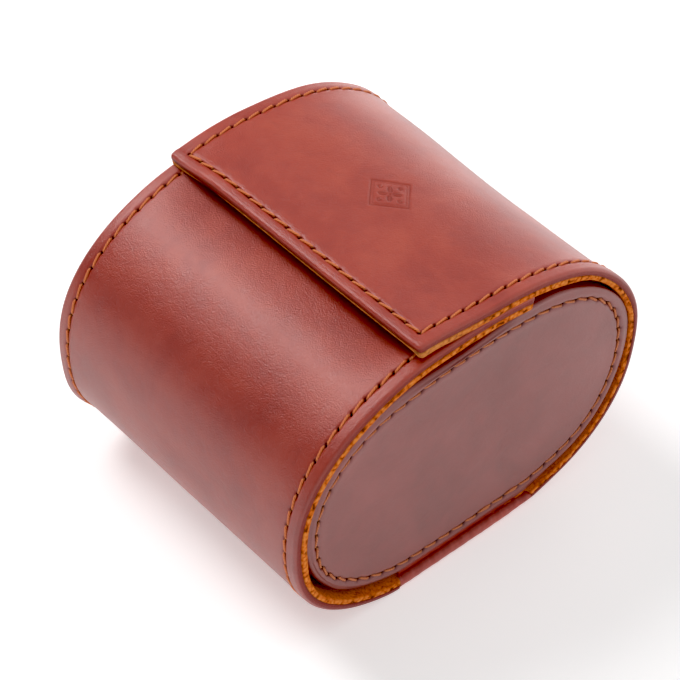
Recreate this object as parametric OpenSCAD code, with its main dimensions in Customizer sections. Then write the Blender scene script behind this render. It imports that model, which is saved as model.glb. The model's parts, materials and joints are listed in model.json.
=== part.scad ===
// Single-watch travel case: an oval leather tube made from one long strip that
// wraps under, up and over and closes with a flap, with an oval end panel on a
// living hinge at each side and a loose pillow inside for the watch.
// Origin: middle of the underside.  X runs along the tube, the flap opens
// towards -Y, +Z is up.  Units are millimetres.

/* [Case] */
// Length of the tube from lip to lip
case_len = 80; // [72:1:95]
// Half width of the oval, outside, at its widest
half_w = 50.5; // [47:0.5:56]
// Height of the oval above its widest line, outside of the inner turn
rise_up = 35.3; // [33:0.1:39]
// Height of the oval's widest line above the ground
mid_z = 35.9; // [34:0.1:38]
// How far the underside would bulge below the ground if it were not flat
flat_cut = 1.95; // [1.5:0.05:2.5]
// Squareness of the upper half of the oval (2 is an ellipse)
sq_up = 2.18; // [2.05:0.01:2.4]
// Squareness of the lower half of the oval
sq_low = 2.4; // [2.2:0.01:2.6]

/* [Leather] */
// Thickness of the smooth outer leather
hide_t = 1.7; // [1.4:0.1:2]
// Thickness of the suede lining
suede_t = 1.3; // [1:0.1:1.5]
// Air between the flap and the turn of the wrap beneath it
flap_air = 0.35; // [0.3:0.05:0.6]
// How far the flap's front edge curls up clear of the front
flap_rise = 1.6; // [0.5:0.1:2]
// Position of the flap's front edge round the oval, in degrees
flap_edge_deg = 108.7; // [106:0.1:116]
// Position of the end of the tucked-in turn, in degrees
tuck_deg = 74.5; // [50:0.5:78]
// Position of the fold between back and flap, in degrees
flap_fold_deg = 38; // [34:0.5:42]
// Height above the ground of the two lower fold lines
fold_z = 10; // [9:0.5:12]
// Distance over which the flap's step sinks back into the back wall, in degrees
step_deg = 56; // [30:1:60]

/* [End panels] */
// How far the end panels stand back from the lip
end_recess = 0.8; // [0.6:0.1:2]
// Clearance round an end panel
end_gap = 0.75; // [0.7:0.05:1.2]
// Extra clearance at the two lower corners of an end panel
corner_gap = 0.4; // [0.3:0.1:1]
// Extra clearance above an end panel, under the flap
top_gap = 0.6; // [0.5:0.1:1.5]
// How far the end panels sit towards the back
end_shift = 0.4; // [0:0.1:0.4]
// Thickness of the end panel's outer leather
end_hide_t = 2; // [1.8:0.1:2.2]
// Thickness of the stiffening board
board_t = 0.8; // [0.6:0.1:1]
// Half width of the hinge tab under an end panel
tab_half = 20; // [16:0.5:20]

/* [Stitching] */
// Length of one stitch, hole to hole
pitch = 4.1; // [3.6:0.1:4.6]
// Distance of the seams from the edges of the wrap
seam_in = 3.1; // [2.8:0.1:3.6]
// Distance of the seam from the edge of an end panel
end_seam_in = 3.1; // [2.8:0.1:5]
// Thread radius
thread_r = 0.32; // [0.25:0.01:0.36]

/* [Closure] */
// Radius of the hidden disc magnets
mag_r = 4.5; // [4:0.5:5]
// Thickness of the magnets
mag_t = 0.85; // [0.7:0.05:0.9]
// Distance of the magnets from the middle of the flap
mag_x = 24; // [18:1:28]
// Position of the magnets round the oval, in degrees
mag_deg = 86; // [82:0.5:90]

/* [Pillow] */
// Length of the pillow along the tube
pillow_len = 62; // [54:1:64]
// Half width of the pillow
pillow_half = 38; // [32:0.5:39]
// Height of the pillow
pillow_h = 46; // [38:1:48]
// Thickness of the pillow's suede cover
cover_t = 1.2; // [1:0.1:1.4]

/* [Hidden] */
hide_col = [0.56, 0.24, 0.19];
hide_dark = [0.42, 0.13, 0.10];
panel_col = [0.50, 0.30, 0.28];
suede_col = [0.84, 0.45, 0.16];
thread_col = [0.88, 0.50, 0.32];
wall_t = hide_t + suede_t;
lift = wall_t + flap_air;
low_b = mid_z + flat_cut;
half_l = case_len / 2;
joint_gap = 0.12;
mag_skin = 0.6;
step_a = 3.5;
tab_z = 3.1;
rise_from = 86;
axis_z = 3.3;

function sg(v) = v < 0 ? -1 : 1;
function smooth(v) = let (u = min(1, max(0, v))) u * u * (3 - 2 * u);
// Outer outline of the inner turn of the wrap, as [y, z] at angle t
function oval(t) = let (c = cos(t), s = sin(t), n = s >= 0 ? sq_up : sq_low)
    [half_w * sg(c) * pow(abs(c), 2 / n),
     s >= 0 ? mid_z + rise_up * pow(s, 2 / n)
            : max(0, mid_z - low_b * pow(-s, 2 / n))];
function tangent(t) = let (d = oval(t + 0.4) - oval(t - 0.4)) d / norm(d);
function outward(t) = let (g = tangent(t)) [g[1], -g[0]];
function shifted(t, o) = oval(t) + o * outward(t);
// How far the outer turn stands off the outline of the inner turn
function stand(t) = lift * smooth((t - (tuck_deg - step_deg)) / (step_deg - 2))
    + flap_rise * smooth((t - rise_from) / (flap_edge_deg + 2 - rise_from));
// Angles from a to b, ends included
function sweep(a, b) = let (n = ceil(abs(b - a) / step_a)) [for (i = [0:n]) a + (b - a) * i / n];
// Angle at which the lower outline is z above the ground
function low_angle(z) = asin(pow((mid_z - z) / low_b, sq_low / 2));
fold_a = low_angle(fold_z);
front_fold = 180 + fold_a;
back_fold = -fold_a;
// Arc length table from a to b, as [[length, angle], ...]
function seg(t, d, k) = norm(shifted(t + d, k ? stand(t + d) : 0) - shifted(t, k ? stand(t) : 0));
function arcs(a, b, k) = let (n = 120, d = (b - a) / n)
    [for (i = 0, s = 0; i <= n; s = s + seg(a + d * i, d, k), i = i + 1) [s, a + d * i]];
function turn(g) = atan2(-g[0], g[1]);
// Small turn in degrees that moves a point along the outline by d
function nudge(t, d) = d / norm(oval(t + 0.5) - oval(t - 0.5));

module along_x(len) { rotate([90, 0, 90]) linear_extrude(height = len, center = true) children(); }

// Strip of wall from angle a to b between two offsets; k adds the stand-off
module strip(a, b, o_out, o_in, len, k = false) {
    ts = sweep(a, b);
    along_x(len) polygon(concat(
        [for (t = ts) shifted(t, o_out + (k ? stand(t) : 0))],
        [for (i = [len(ts) - 1:-1:0]) shifted(ts[i], o_in + (k ? stand(ts[i]) : 0))]));
}

// One stitch lying along the outline at angle t, with its crown at height p
module stitch(x, t, o, p) {
    q = shifted(t, o - thread_r + p);
    translate([x, q[0], q[1]]) rotate([turn(tangent(t)), 0, 0])
        cylinder(r = thread_r, h = pitch * 0.74, center = true, $fn = 16);
}

// Rows of stitches near both lips from angle a to b
module side_rows(a, b, p, k = false) {
    tab = arcs(a, b, k);
    total = tab[len(tab) - 1][0];
    n = max(1, floor(total / pitch));
    for (i = [0:n - 1]) {
        t = lookup((i + 0.5) * total / n, tab);
        for (x = [-1, 1]) stitch(x * (half_l - seam_in), t, k ? stand(t) : 0, p);
    }
}

module disc(x, t, o, r, h) {
    q = shifted(t, o);
    translate([x, q[0], q[1]]) rotate([turn(outward(t)), 0, 0]) cylinder(r = r, h = h, $fn = 48);
}

// ---- base: flat underside and the two lower corners
base_a = front_fold + nudge(front_fold, joint_gap);
base_b = 360 + back_fold - nudge(back_fold, joint_gap);
module base_leather() { color(hide_col) strip(base_a, base_b, 0, -hide_t, case_len); }
module base_lining() {
    color(suede_col) difference() {
        strip(base_a, base_b, -hide_t, -wall_t, case_len);
        for (s = [-1, 1]) translate([s * (half_l - 0.9), 0, 2.5])
            cube([2, 2 * tab_half + 0.2, 3], center = true);
    }
}
module base_thread() { color(thread_col) side_rows(base_a, base_b, -0.05); }
// Tab of leather rolled over the lip under an end panel
module hinge_tab(s) {
    r = tab_z - hide_t;
    color(hide_dark) mirror([s < 0 ? 1 : 0, 0, 0]) translate([0, tab_half, 0]) rotate([90, 0, 0])
        linear_extrude(height = 2 * tab_half) polygon(concat(
            [[half_l - 1.8, hide_t], [half_l, hide_t]],
            [for (a = [10:10:90]) [half_l - r + r * cos(a), hide_t + r * sin(a)]],
            [[half_l - 1.8, tab_z]]));
}
module right_tab() { hinge_tab(1); }
module left_tab() { hinge_tab(-1); }

// ---- front: from the lower fold up the front and over the top, tucked in
front_a = tuck_deg;
front_b = front_fold - nudge(front_fold, joint_gap);
module front_leather() {
    color(hide_col) difference() {
        strip(front_a, front_b, 0, -hide_t, case_len);
        for (x = [-mag_x, mag_x]) disc(x, mag_deg, -mag_skin - 3, mag_r + 0.05, 3);
    }
}
module front_lining() { color(suede_col) strip(front_a, front_b, -hide_t, -wall_t, case_len); }
module front_thread() {
    color(thread_col) side_rows(front_a + nudge(front_a, seam_in), front_b, 0.1);
}
module front_magnets() {
    color([0.72, 0.73, 0.75]) for (x = [-mag_x, mag_x]) disc(x, mag_deg, -mag_skin - mag_t, mag_r, mag_t);
}

// ---- back: from the lower fold up the back to the flap
back_a = back_fold + nudge(back_fold, joint_gap);
back_b = flap_fold_deg - nudge(flap_fold_deg, joint_gap);
module back_leather() { color(hide_col) strip(back_a, back_b, 0, -hide_t, case_len, true); }
module back_lining() { color(suede_col) strip(back_a, back_b, -hide_t, -wall_t, case_len, true); }
module back_thread() { color(thread_col) side_rows(back_a, back_b, 0.1, true); }

// ---- flap: over the top and down onto the front
flap_a = flap_fold_deg + nudge(flap_fold_deg, joint_gap);
flap_b = flap_edge_deg;
module flap_leather() {
    color(hide_col) difference() {
        strip(flap_a, flap_b, 0, -hide_t, case_len, true);
        for (x = [-mag_x, mag_x]) disc(x, mag_deg, stand(mag_deg) - mag_skin - 3, mag_r + 0.05, 3);
    }
}
module flap_lining() { color(suede_col) strip(flap_a, flap_b, -hide_t, -wall_t, case_len, true); }
module flap_thread() {
    e = flap_b - nudge(flap_b, seam_in);
    q = shifted(e, stand(e) - thread_r + 0.1);
    n = floor((case_len - 2 * seam_in) / pitch);
    color(thread_col) {
        side_rows(flap_a, e - nudge(e, 0.6), 0.1, true);
        for (i = [0:n - 1]) translate([(i + 0.5 - n / 2) * (case_len - 2 * seam_in) / n, q[0], q[1]])
            rotate([0, 90, 0]) cylinder(r = thread_r, h = pitch * 0.74, center = true, $fn = 16);
    }
}
module flap_magnets() {
    color([0.72, 0.73, 0.75]) for (x = [-mag_x, mag_x]) disc(x, mag_deg, stand(mag_deg) - mag_skin - mag_t, mag_r, mag_t);
}

// ---- end panels
function clearance(t) = end_gap
    + (t > 180 ? corner_gap * pow(sin(2 * (t - 180)), 2) : top_gap * pow(sin(t), 2));
function panel_pt(t, inset) = shifted(t, -wall_t - clearance(t) - inset) + [end_shift, 0];
module panel_shape(inset, foot) {
    polygon(concat(
        [for (t = sweep(-62, 242)) panel_pt(t < 0 ? t + 360 : t, inset)],
        [[-foot, inset + axis_z], [foot, inset + axis_z]]));
}
module panel_slab(x0, x1, inset) {
    translate([(x0 + x1) / 2, 0, 0]) along_x(abs(x1 - x0)) panel_shape(inset, tab_half - inset);
}
face_x = half_l - end_recess;
module end_leather(s) {
    color(panel_col) difference() {
        panel_slab(s * (face_x - end_hide_t), s * face_x, 0);
        panel_slab(s * (face_x - end_hide_t - 1), s * (face_x - end_hide_t + board_t), end_seam_in + 2);
    }
}
module end_board(s) {
    color([0.35, 0.33, 0.30]) panel_slab(s * (face_x - end_hide_t), s * (face_x - end_hide_t + board_t), end_seam_in + 2.1);
}
module end_lining(s) {
    color(suede_col) panel_slab(s * (face_x - end_hide_t - suede_t - 0.1), s * (face_x - end_hide_t), 0);
}
function panel_arcs() = [for (i = 0, s = 0; i <= 180;
    s = s + norm(panel_pt((360 + i * 2 + 2) % 360, end_seam_in) - panel_pt((360 + i * 2) % 360, end_seam_in)),
    i = i + 1) [s, i * 2]];
module end_thread(s) {
    tab = panel_arcs();
    total = tab[len(tab) - 1][0];
    n = floor(total / pitch);
    color(thread_col) for (i = [0:n - 1]) {
        t = lookup((i + 0.5) * total / n, tab);
        q = panel_pt(t, end_seam_in);
        g = panel_pt(t + 1, end_seam_in) - panel_pt(t - 1, end_seam_in);
        translate([s * (face_x - thread_r + 0.1), q[0], q[1]]) rotate([turn(g / norm(g)), 0, 0])
            cylinder(r = thread_r, h = pitch * 0.74, center = true, $fn = 16);
    }
}
module right_end_leather() { end_leather(1); }
module right_end_board() { end_board(1); }
module right_end_lining() { end_lining(1); }
module right_end_thread() { end_thread(1); }
module left_end_leather() { end_leather(-1); }
module left_end_board() { end_board(-1); }
module left_end_lining() { end_lining(-1); }
module left_end_thread() { end_thread(-1); }

// ---- pillow for the watch, resting on the base lining
pillow_z = wall_t + 0.1;
function pillow_pt(t, inset) = let (c = cos(t), s = sin(t))
    [(pillow_half - inset) * sg(c) * pow(abs(c), 2 / 2.2),
     max(pillow_z + inset, pillow_z - 0.8 + pillow_h / 2 + (pillow_h / 2 + 0.8 - inset) * sg(s) * pow(abs(s), 2 / 2.2))];
module pillow_shape(inset) { polygon([for (t = [0:5:355]) pillow_pt(t, inset)]); }
module pillow_cover() {
    color(suede_col) along_x(pillow_len) difference() { pillow_shape(0); pillow_shape(cover_t); }
}
module pillow_foam() { color([0.9, 0.86, 0.74]) along_x(pillow_len - 2 * cover_t) pillow_shape(cover_t); }
module pillow_cap(s) {
    color(suede_col) translate([s * (pillow_len - cover_t) / 2, 0, 0]) along_x(cover_t) pillow_shape(cover_t);
}
module pillow_right_cap() { pillow_cap(1); }
module pillow_left_cap() { pillow_cap(-1); }

base_leather();
base_lining();
base_thread();
right_tab();
left_tab();
front_leather();
front_lining();
front_thread();
front_magnets();
back_leather();
back_lining();
back_thread();
flap_leather();
flap_lining();
flap_thread();
flap_magnets();
right_end_leather();
right_end_board();
right_end_lining();
right_end_thread();
left_end_leather();
left_end_board();
left_end_lining();
left_end_thread();
pillow_cover();
pillow_foam();
pillow_right_cap();
pillow_left_cap();
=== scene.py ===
import json
import math

import bpy
import numpy as np
from mathutils import Matrix, Vector

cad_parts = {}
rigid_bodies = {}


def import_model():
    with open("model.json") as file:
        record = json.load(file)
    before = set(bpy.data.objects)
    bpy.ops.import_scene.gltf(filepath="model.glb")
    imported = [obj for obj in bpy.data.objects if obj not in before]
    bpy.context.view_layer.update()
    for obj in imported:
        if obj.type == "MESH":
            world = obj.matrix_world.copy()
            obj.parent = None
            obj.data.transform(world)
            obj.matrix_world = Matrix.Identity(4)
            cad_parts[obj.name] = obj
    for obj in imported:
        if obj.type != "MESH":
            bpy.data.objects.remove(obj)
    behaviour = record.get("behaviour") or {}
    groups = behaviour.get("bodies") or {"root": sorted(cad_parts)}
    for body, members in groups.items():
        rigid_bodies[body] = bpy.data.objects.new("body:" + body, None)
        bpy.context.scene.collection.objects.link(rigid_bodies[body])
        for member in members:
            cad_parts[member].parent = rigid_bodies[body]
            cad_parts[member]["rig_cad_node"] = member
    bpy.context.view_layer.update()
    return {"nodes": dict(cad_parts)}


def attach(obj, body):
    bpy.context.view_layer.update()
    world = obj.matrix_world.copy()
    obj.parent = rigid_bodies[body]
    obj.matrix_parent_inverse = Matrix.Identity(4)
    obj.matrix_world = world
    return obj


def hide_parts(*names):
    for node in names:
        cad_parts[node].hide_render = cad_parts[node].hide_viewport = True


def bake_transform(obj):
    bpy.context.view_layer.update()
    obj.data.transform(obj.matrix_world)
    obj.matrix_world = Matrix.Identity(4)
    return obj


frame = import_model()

MM = 0.001

# ------------------------------------------------------------------ sizes, mm
HALF_W, RISE, MID, LOW_B, SQ_UP, SQ_LOW = 50.5, 35.3, 35.9, 37.85, 2.18, 2.4
HIDE, SUEDE = 1.7, 1.3
WALL = HIDE + SUEDE
LIFT = WALL + 0.35
TUCK, EDGE, STEP, FLAP_RISE = 74.5, 108.7, 56.0, 1.6
HALF_L = 40.35
PITCH = 4.1
SEAM = 36.9            # distance of the side seams from the middle
THREAD_R = 0.30
SLANT = 0.36
TAB = 20.3             # half width of the rolled hinge under an end panel
TAB_Y = 1.5            # its middle
FACE = 39.2            # end panel's outer face


def smooth(u):
    u = np.clip(u, 0.0, 1.0)
    return u * u * (3 - 2 * u)


def bump(v, centre, half):
    return np.exp(-((v - centre) / half) ** 2)


def _hash(i, j, k, seed):
    n = (i.astype(np.uint32) * np.uint32(374761393) + j.astype(np.uint32) * np.uint32(668265263)
         + k.astype(np.uint32) * np.uint32(2246822519) + np.uint32(seed * 3266489917 & 0xFFFFFFFF))
    n = (n ^ (n >> np.uint32(13))) * np.uint32(1274126177)
    n = n ^ (n >> np.uint32(16))
    return n.astype(np.float64) / 2147483648.0 - 1.0


def noise(p, size, seed=0):
    """Smooth noise from -1 to 1, features about size across, at points p (n, 3)."""
    q = np.asarray(p, float) / size + 1000.0
    i = np.floor(q)
    f = q - i
    f = f * f * (3 - 2 * f)
    i = i.astype(np.int64)
    out = np.zeros(len(q))
    for a in (0, 1):
        for b in (0, 1):
            for c in (0, 1):
                w = ((f[:, 0] if a else 1 - f[:, 0]) * (f[:, 1] if b else 1 - f[:, 1])
                     * (f[:, 2] if c else 1 - f[:, 2]))
                out += w * _hash(i[:, 0] + a, i[:, 1] + b, i[:, 2] + c, seed)
    return out


# ------------------------------------------------- the wrap's spiral, in y and z
def oval(t):
    r = np.radians(t)
    c, s = np.cos(r), np.sin(r)
    n = np.where(s >= 0, SQ_UP, SQ_LOW)
    y = HALF_W * np.sign(c) * np.abs(c) ** (2 / n)
    z = np.where(s >= 0, MID + RISE * np.abs(s) ** (2 / n),
                 np.maximum(0.0, MID - LOW_B * np.abs(s) ** (2 / n)))
    # the underside rises a little early towards the back
    z = z + np.where(s < 0, 0.9 * bump(y, 25.0, 9.0), 0.0)
    return np.stack([y, z], -1)


def outward(t):
    d = oval(t + 0.4) - oval(t - 0.4)
    d /= np.linalg.norm(d, axis=-1, keepdims=True)
    return np.stack([d[..., 1], -d[..., 0]], -1)


def stand(t):
    """Stand-off of the outer turn; t counts on from 360."""
    u = np.asarray(t, float) - 360
    return (LIFT * smooth((u - (TUCK - STEP)) / (STEP - 2))
            + FLAP_RISE * smooth((u - 86) / (EDGE + 2 - 86)))


def soften(a, sigma, closed=False):
    k = np.arange(-int(4 * sigma), int(4 * sigma) + 1)
    w = np.exp(-0.5 * (k / sigma) ** 2)
    w /= w.sum()
    n = len(k) // 2
    out = np.empty_like(a)
    for j in range(a.shape[1]):
        col = a[:, j]
        if closed:
            padded = np.concatenate([col[-n:], col, col[:n]])
        else:
            padded = np.concatenate([2 * col[0] - col[n:0:-1], col, 2 * col[-1] - col[-2:-n - 2:-1]])
        out[:, j] = np.convolve(padded, w, "valid")
    return out


def even(p, ds, closed=False):
    """Points of a polyline, evenly spaced by about ds, with their lengths along it."""
    if closed:
        p = np.vstack([p, p[:1]])
    s = np.concatenate([[0], np.cumsum(np.linalg.norm(np.diff(p[:, :2], axis=0), axis=1))])
    n = int(round(s[-1] / ds))
    u = np.linspace(0, s[-1], n + 1)
    q = np.stack([np.interp(u, s, p[:, j]) for j in range(p.shape[1])], -1)
    return (q[:-1] if closed else q), u, s


DS = 0.1
_t = np.arange(TUCK, 360 + EDGE + 1e-6, 0.2)
_p = oval(_t) + stand(_t)[:, None] * outward(_t)
_q, S_ALL, _s0 = even(np.column_stack([_p, _t]), DS)
P_ALL = soften(_q[:, :2], 18)
T_ALL = _q[:, 2]
_d = np.gradient(P_ALL, axis=0)
_d /= np.linalg.norm(_d, axis=1, keepdims=True)
N_ALL = soften(np.stack([_d[:, 1], -_d[:, 0]], -1), 6)
N_ALL /= np.linalg.norm(N_ALL, axis=1, keepdims=True)
P_ALL[:, 1] -= min(0.0, P_ALL[:, 1].min())
S_END = S_ALL[-1]


def s_of(t):
    return float(np.interp(t, T_ALL, S_ALL))


S_BOTTOM, S_BACK = s_of(270.0), s_of(360.0)


def field(x, t):
    """Small departures of the leather from the plain prism, as an offset."""
    u = np.where(t > 330, t - 360, t)
    top = smooth((u - 50) / 22) * (1 - smooth((u - 96) / 16))
    o = -0.75 * top * smooth((x + 8) / 44) + 0.35 * top * smooth((-x - 5) / 40)
    flare = smooth((np.abs(x) - 35.5) / 4.2)
    low_left = bump(np.where(t > 330, 999, t), 208, 14) * (x < 0)
    round_back = np.where(t > 180, bump(t, 372, 24) + bump(t, 345, 14) * 0.5, 0.0)
    o = o + flare * (0.12 + 0.42 * np.clip(round_back, 0, 1) + 0.9 * low_left)
    shoulder = np.exp(-((u - 42) / 17.0) ** 2) * (t > 330)
    o = o + shoulder * (0.35 - 1.25 * smooth((x + 36) / 44) + 0.75 * smooth((x - 31) / 8))
    outer = t > 330
    rise = smooth((u - 88) / 20) * outer
    o = o + rise * (0.45 + 0.35 * smooth((x - 10) / 30) - 1.9 * smooth((-x - 24) / 15))
    # the end tucked under the flap is pressed in, away from its lips
    o = o - 1.75 * (t < 200) * (1 - smooth((u - 103) / 25)) * (1 - smooth((np.abs(x) - 29) / 9))
    return o


def lip(s):
    """Half length of the wrap at s: cut back where the end panels' hinges roll over it."""
    p = np.interp(s, S_ALL, P_ALL[:, 0])
    low = (s > s_of(225)) & (s < s_of(320))
    w = smooth((TAB + 0.25 - np.abs(p - TAB_Y)) / 0.35) * low
    return HALF_L - 1.5 * w


def wrap(x, s, o):
    """The point of the wrap at x along the tube, s along the strip and offset o outward."""
    x, s, o = np.broadcast_arrays(np.asarray(x, float), np.asarray(s, float), np.asarray(o, float))
    x, s, o = x.ravel(), s.ravel(), o.ravel()
    y, z = np.interp(s, S_ALL, P_ALL[:, 0]), np.interp(s, S_ALL, P_ALL[:, 1])
    ny, nz = np.interp(s, S_ALL, N_ALL[:, 0]), np.interp(s, S_ALL, N_ALL[:, 1])
    o = o + field(x, np.interp(s, S_ALL, T_ALL))
    return np.column_stack([x, y + o * ny, z + o * nz])


# ------------------------------------------------------------------ mesh code
def add_mesh(name, verts, faces, attrs=None, material=None, sharp=None):
    """A mesh object from verts in mm and a list of face arrays (each (n, k))."""
    verts = np.asarray(verts, float) * MM
    me = bpy.data.meshes.new(name)
    me.vertices.add(len(verts))
    me.vertices.foreach_set("co", verts.astype(np.float32).ravel())
    loops, starts, totals, at = [], [], [], 0
    for f in faces:
        if isinstance(f, np.ndarray):
            if not len(f):
                continue
            k = f.shape[1]
            loops.append(f.astype(np.int32).ravel())
            starts.append(at + k * np.arange(len(f)))
            totals.append(np.full(len(f), k))
            at += k * len(f)
        else:
            loops.append(np.asarray(f, np.int32))
            starts.append(np.array([at]))
            totals.append(np.array([len(f)]))
            at += len(f)
    loops, starts, totals = np.concatenate(loops), np.concatenate(starts), np.concatenate(totals)
    me.loops.add(len(loops))
    me.loops.foreach_set("vertex_index", loops)
    me.polygons.add(len(starts))
    me.polygons.foreach_set("loop_start", starts.astype(np.int32))
    me.polygons.foreach_set("loop_total", totals.astype(np.int32))
    me.update(calc_edges=True)
    me.validate()
    me.polygons.foreach_set("use_smooth", np.ones(len(me.polygons), bool))
    if sharp:
        me.set_sharp_from_angle(angle=math.radians(sharp))
    for key, val in (attrs or {}).items():
        val = np.asarray(val, np.float32)
        if val.ndim == 2:
            a = me.attributes.new(key, "FLOAT_VECTOR", "POINT")
            a.data.foreach_set("vector", val.ravel())
        else:
            a = me.attributes.new(key, "FLOAT", "POINT")
            a.data.foreach_set("value", val)
    ob = bpy.data.objects.new(name, me)
    bpy.context.scene.collection.objects.link(ob)
    if material is not None:
        me.materials.append(material)
    return ob


class Build:
    """Vertices and faces of one piece, with its attributes."""

    def __init__(self):
        self.v, self.f, self.a, self.n = [], [], {}, 0

    def add(self, v, **attrs):
        v = np.asarray(v, float)
        for k, val in attrs.items():
            val = np.asarray(val, float)
            if val.ndim == 0:
                val = np.full(len(v), float(val))
            self.a.setdefault(k, []).append(val)
        i = self.n + np.arange(len(v))
        self.v.append(v)
        self.n += len(v)
        return i

    def make(self, name, material, sharp=None, **kw):
        attrs = {k: np.concatenate(val) for k, val in self.a.items()}
        return add_mesh(name, np.concatenate(self.v), self.f, attrs, material, sharp)


def quads(rows, flip=False):
    """Faces between consecutive rows of an index grid."""
    a, b, c, d = rows[:-1, :-1], rows[1:, :-1], rows[1:, 1:], rows[:-1, 1:]
    f = np.stack([a, d, c, b] if flip else [a, b, c, d], -1).reshape(-1, 4)
    return f


# ------------------------------------------------------------ seam positions
_row_t = 119.42
_n = round((S_END - 3.1 - s_of(_row_t)) / PITCH)
STEP_S = (S_END - 3.1 - s_of(_row_t)) / _n
HOLES_S = s_of(_row_t) + STEP_S * np.arange(-int((s_of(_row_t) - 3.0) / STEP_S), _n + 1)
HOLES_X = -SEAM + PITCH * np.arange(19)
S_ROW = HOLES_S[-1]


def nearest(v, marks):
    i = np.clip(np.searchsorted(marks, v), 1, len(marks) - 1)
    lo, hi = marks[i - 1], marks[i]
    return np.where(v - lo < hi - v, v - lo, v - hi)


def lines(marks, fine, a, b, coarse):
    """Grid lines from a to b: clustered round the marks, and no further apart than coarse."""
    v = [a, b]
    for m in marks:
        v += [m + f for f in fine]
    v = np.unique(np.round([u for u in v if a <= u <= b], 4))
    v = v[np.concatenate([[True], np.diff(v) > 0.02])]
    out = [v[0]]
    for u in v[1:]:
        n = max(1, int(math.ceil((u - out[-1]) / coarse - 1e-6)))
        out += list(np.linspace(out[-1], u, n + 1)[1:])
    out[-1] = b
    return np.array(out)


ROUND = 0.95           # rounding of the worked lips
FINE = (-0.62, -0.4, -0.22, -0.07, 0.07, 0.22, 0.4, 0.62)
EDGE_F = (0.0, 0.03, 0.09, 0.18, 0.3, 0.45, 0.64, 0.86, 1.12, 1.45, 1.85, 2.3)   # distances from a lip


def pit(a, b, la, lb, turn):
    """Depth of a slanting awl hole at a along the row and b across it."""
    c, s = math.cos(turn), math.sin(turn)
    u, v = a * c + b * s, -a * s + b * c
    return np.exp(-((u / la) ** 2 + (v / lb) ** 2) ** 1.3)


def leather_relief(x, s, d_lip, d_end, flap, hidden):
    """Offset of the smooth leather's outer surface, and how far it is a hole, at (x, s)."""
    ax = np.abs(x)
    o = np.zeros_like(x)
    # side seams
    d = np.abs(ax - SEAM)
    live = 1.0
    side = np.ones_like(x)
    if flap:
        side = smooth((S_ROW + 0.4 - s) / 0.5)
    groove = bump(d, 0, 0.42) * side
    swell = 0.10 * bump(ax, SEAM - 1.15, 0.7) * side + 0.10 * bump(ax, SEAM + 1.1, 0.7)
    da = nearest(s, HOLES_S)
    db = (ax - SEAM)
    sx = np.sign(x)
    hole = pit(da, db * 1.0, 0.50, 0.29, 0.5) * (side > 0.3)
    # the leather draws in at each hole and rises between them
    pull = 0.5 + 0.5 * np.cos(2 * np.pi * da / PITCH)
    o += -0.20 * groove - 0.05 * pull * bump(d, 0, 0.9) * side + swell
    if flap:
        d2 = np.abs(s - S_ROW)
        inside = smooth((SEAM + 0.4 - ax) / 0.5)
        g2 = bump(d2, 0, 0.42) * inside
        da2 = nearest(x, HOLES_X)
        pull2 = 0.5 + 0.5 * np.cos(2 * np.pi * da2 / PITCH)
        h2 = pit(da2, s - S_ROW, 0.50, 0.29, -0.5) * (inside > 0.3)
        o += -0.20 * g2 - 0.05 * pull2 * bump(d2, 0, 0.9) * inside
        o += 0.10 * bump(s, S_ROW - 1.15, 0.7) * inside + 0.10 * bump(s, S_ROW + 1.1, 0.7)
        hole = np.maximum(hole, h2)
    o = o * (0.35 if hidden is True else (1 - 0.65 * hidden))
    o -= 0.85 * hole
    # slow unevenness of a worked hide
    p = np.column_stack([x, s, np.zeros_like(x)])
    o += 0.10 * noise(p, 19.0, 3) + 0.035 * noise(p, 6.5, 5)
    # pressed line and rounding at the free edges
    d = np.minimum(d_lip, d_end) if flap else d_lip
    r = ROUND
    u = np.clip((r - d) / r, 0, 1)
    o -= r * (1 - np.sqrt(np.clip(1 - u * u, 0, 1)))
    return o, hole


def corner_warp(dx, ds, rc):
    """Rounds the corner of a sheet: distances from the two edges in, pulled-in distances out."""
    px, py = np.clip((rc - dx) / rc, 0, 1), np.clip((rc - ds) / rc, 0, 1)
    m, h = np.maximum(px, py), np.hypot(px, py)
    k = np.where(h > 1e-9, m / np.maximum(h, 1e-9), 1.0)
    both = (px > 0) & (py > 0)
    return np.where(both, rc - rc * px * k, dx), np.where(both, rc - rc * py * k, ds)


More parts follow.
